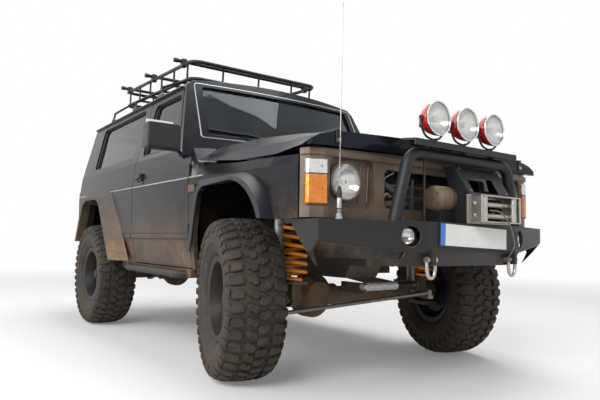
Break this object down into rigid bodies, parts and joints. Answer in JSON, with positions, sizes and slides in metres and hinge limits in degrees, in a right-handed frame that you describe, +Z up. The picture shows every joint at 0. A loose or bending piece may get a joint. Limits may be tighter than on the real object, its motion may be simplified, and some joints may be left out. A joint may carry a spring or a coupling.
{
  "type": "lifted off-road 4x4",
  "caption": "Lifted short-wheelbase off-road estate with winch bumper, roof rack, spare wheel on the rear door, working doors, bonnet and steering.",
  "frame": {"origin": "middle of the ground footprint, on the ground", "axes": "+X forwards, +Y to the left side of the car, +Z up"},
  "size_m": [4.3146, 2.24, 2.3298],
  "materials": {
    "body_paint": "gloss black paint, dusty low down",
    "nose_paint": "satin brown-grey",
    "chassis_paint": "dusty black",
    "black_steel": "matt black powder coat",
    "winch_paint": "satin black",
    "spring_paint": "orange",
    "damper_paint": "pale grey",
    "axle_steel": "brown dust",
    "bare_steel": "worn",
    "rope_steel": "twisted wire",
    "wheel_steel": "satin black",
    "lamp_shell": "red shells with bright rings",
    "lamp_lens": "clear and orange lenses",
    "black_plastic": "weathered",
    "interior_plastic": "dark grey",
    "seat_cloth": "dark grey cloth",
    "tyre_rubber": "dusty black",
    "glass": "lightly tinted"
  },
  "bodies": {
    "chassis": {"aerial": "black_plastic", "cab_tub": "body_paint", "chassis_frame": "chassis_paint", "coil_springs": "spring_paint", "dampers": "damper_paint", "dashboard": "interior_plastic", "driving_lamps": "lamp_shell", "exhaust": "bare_steel", "fixed_glass": "glass", "front_axle": "axle_steel", "front_bumper": "black_steel", "front_panel": "nose_paint", "front_wings": "body_paint", "fuel_tank": "chassis_paint", "powertrain": "bare_steel", "radiator": "bare_steel", "rear_axle": "axle_steel", "rear_bumper": "black_steel", "road_lamps": "lamp_lens", "roof": "body_paint", "roof_rack": "black_steel", "seats": "seat_cloth", "shackles": "bare_steel", "side_panels": "body_paint", "side_steps": "black_steel", "suspension_arms": "chassis_paint", "wheel_arch_flares": "black_plastic", "winch": "winch_paint", "winch_rope": "rope_steel", "windscreen_frame": "body_paint"},
    "door_right": {"door_right": "body_paint", "door_glass_right": "glass"},
    "door_left": {"door_left": "body_paint", "door_glass_left": "glass"},
    "bonnet": {"bonnet": "body_paint"},
    "rear_door_right": {"rear_door_right": "body_paint", "rear_glass_right": "glass", "spare_wheel": "wheel_steel", "spare_tyre": "tyre_rubber"},
    "rear_door_left": {"rear_door_left": "body_paint", "rear_glass_left": "glass"},
    "knuckle_right": {"knuckle_right": "axle_steel"},
    "knuckle_left": {"knuckle_left": "axle_steel"},
    "track_rod": {"track_rod": "bare_steel"},
    "drag_link": {"drag_link": "bare_steel"},
    "pitman_arm": {"pitman_arm": "bare_steel"},
    "wheel_front_right": {"wheel_front_right": "wheel_steel", "tyre_front_right": "tyre_rubber"},
    "wheel_front_left": {"wheel_front_left": "wheel_steel", "tyre_front_left": "tyre_rubber"},
    "wheel_rear_right": {"wheel_rear_right": "wheel_steel", "tyre_rear_right": "tyre_rubber"},
    "wheel_rear_left": {"wheel_rear_left": "wheel_steel", "tyre_rear_left": "tyre_rubber"}
  },
  "joints": [
    {"name": "door_right_hinge", "type": "hinge", "parent": "chassis", "child": "door_right", "pos_m": [0.6775, -0.88, 1], "axis": [0, 0, 1], "range_deg": [0, 65]},
    {"name": "door_left_hinge", "type": "hinge", "parent": "chassis", "child": "door_left", "pos_m": [0.6775, 0.88, 1], "axis": [0, 0, -1], "range_deg": [0, 65]},
    {"name": "bonnet_hinge", "type": "hinge", "parent": "chassis", "child": "bonnet", "pos_m": [0.6925, 0, 1.288], "axis": [0, -1, 0], "range_deg": [0, 50]},
    {"name": "rear_door_right_hinge", "type": "hinge", "parent": "chassis", "child": "rear_door_right", "pos_m": [-1.8125, -0.785, 1.2], "axis": [0, 0, 1], "range_deg": [0, 90]},
    {"name": "rear_door_left_hinge", "type": "hinge", "parent": "chassis", "child": "rear_door_left", "pos_m": [-1.8125, 0.785, 1.2], "axis": [0, 0, -1], "range_deg": [0, 90]},
    {"name": "steer_right", "type": "hinge", "parent": "chassis", "child": "knuckle_right", "pos_m": [1.1925, -0.65, 0.425], "axis": [0, 0, 1], "range_deg": [-12, 42]},
    {"name": "steer_left", "type": "hinge", "parent": "chassis", "child": "knuckle_left", "pos_m": [1.1925, 0.65, 0.425], "axis": [0, 0, 1], "range_deg": [-12, 42]},
    {"name": "track_rod_ball", "type": "hinge", "parent": "knuckle_right", "child": "track_rod", "pos_m": [1.02829, -0.606, 0.345], "axis": [0, 0, 1], "range_deg": [-42, 12]},
    {"name": "drag_link_ball", "type": "hinge", "parent": "knuckle_right", "child": "drag_link", "pos_m": [1.37603, -0.69918, 0.345], "axis": [0, 0, 1], "range_deg": [-42, 12]},
    {"name": "pitman_turn", "type": "hinge", "parent": "chassis", "child": "pitman_arm", "pos_m": [1.3025, 0.395, 0.5], "axis": [0, 0, 1], "range_deg": [-12, 42]},
    {"name": "wheel_front_right_spin", "type": "hinge", "parent": "knuckle_right", "child": "wheel_front_right", "pos_m": [1.15497, -0.79006, 0.425], "axis": [0.2588, 0.9659, 0], "continuous": true},
    {"name": "wheel_front_left_spin", "type": "hinge", "parent": "knuckle_left", "child": "wheel_front_left", "pos_m": [1.23003, 0.79006, 0.425], "axis": [0.2588, 0.9659, 0], "continuous": true},
    {"name": "wheel_rear_right_spin", "type": "hinge", "parent": "chassis", "child": "wheel_rear_right", "pos_m": [-1.2075, -0.795, 0.425], "axis": [0, 1, 0], "continuous": true},
    {"name": "wheel_rear_left_spin", "type": "hinge", "parent": "chassis", "child": "wheel_rear_left", "pos_m": [-1.2075, 0.795, 0.425], "axis": [0, 1, 0], "continuous": true}
  ],
  "couplings": [
    {"joint": "steer_left", "follows": "steer_right", "ratio": 1},
    {"joint": "track_rod_ball", "follows": "steer_right", "ratio": -1},
    {"joint": "drag_link_ball", "follows": "steer_right", "ratio": -1},
    {"joint": "pitman_turn", "follows": "steer_right", "ratio": 1}
  ]
}
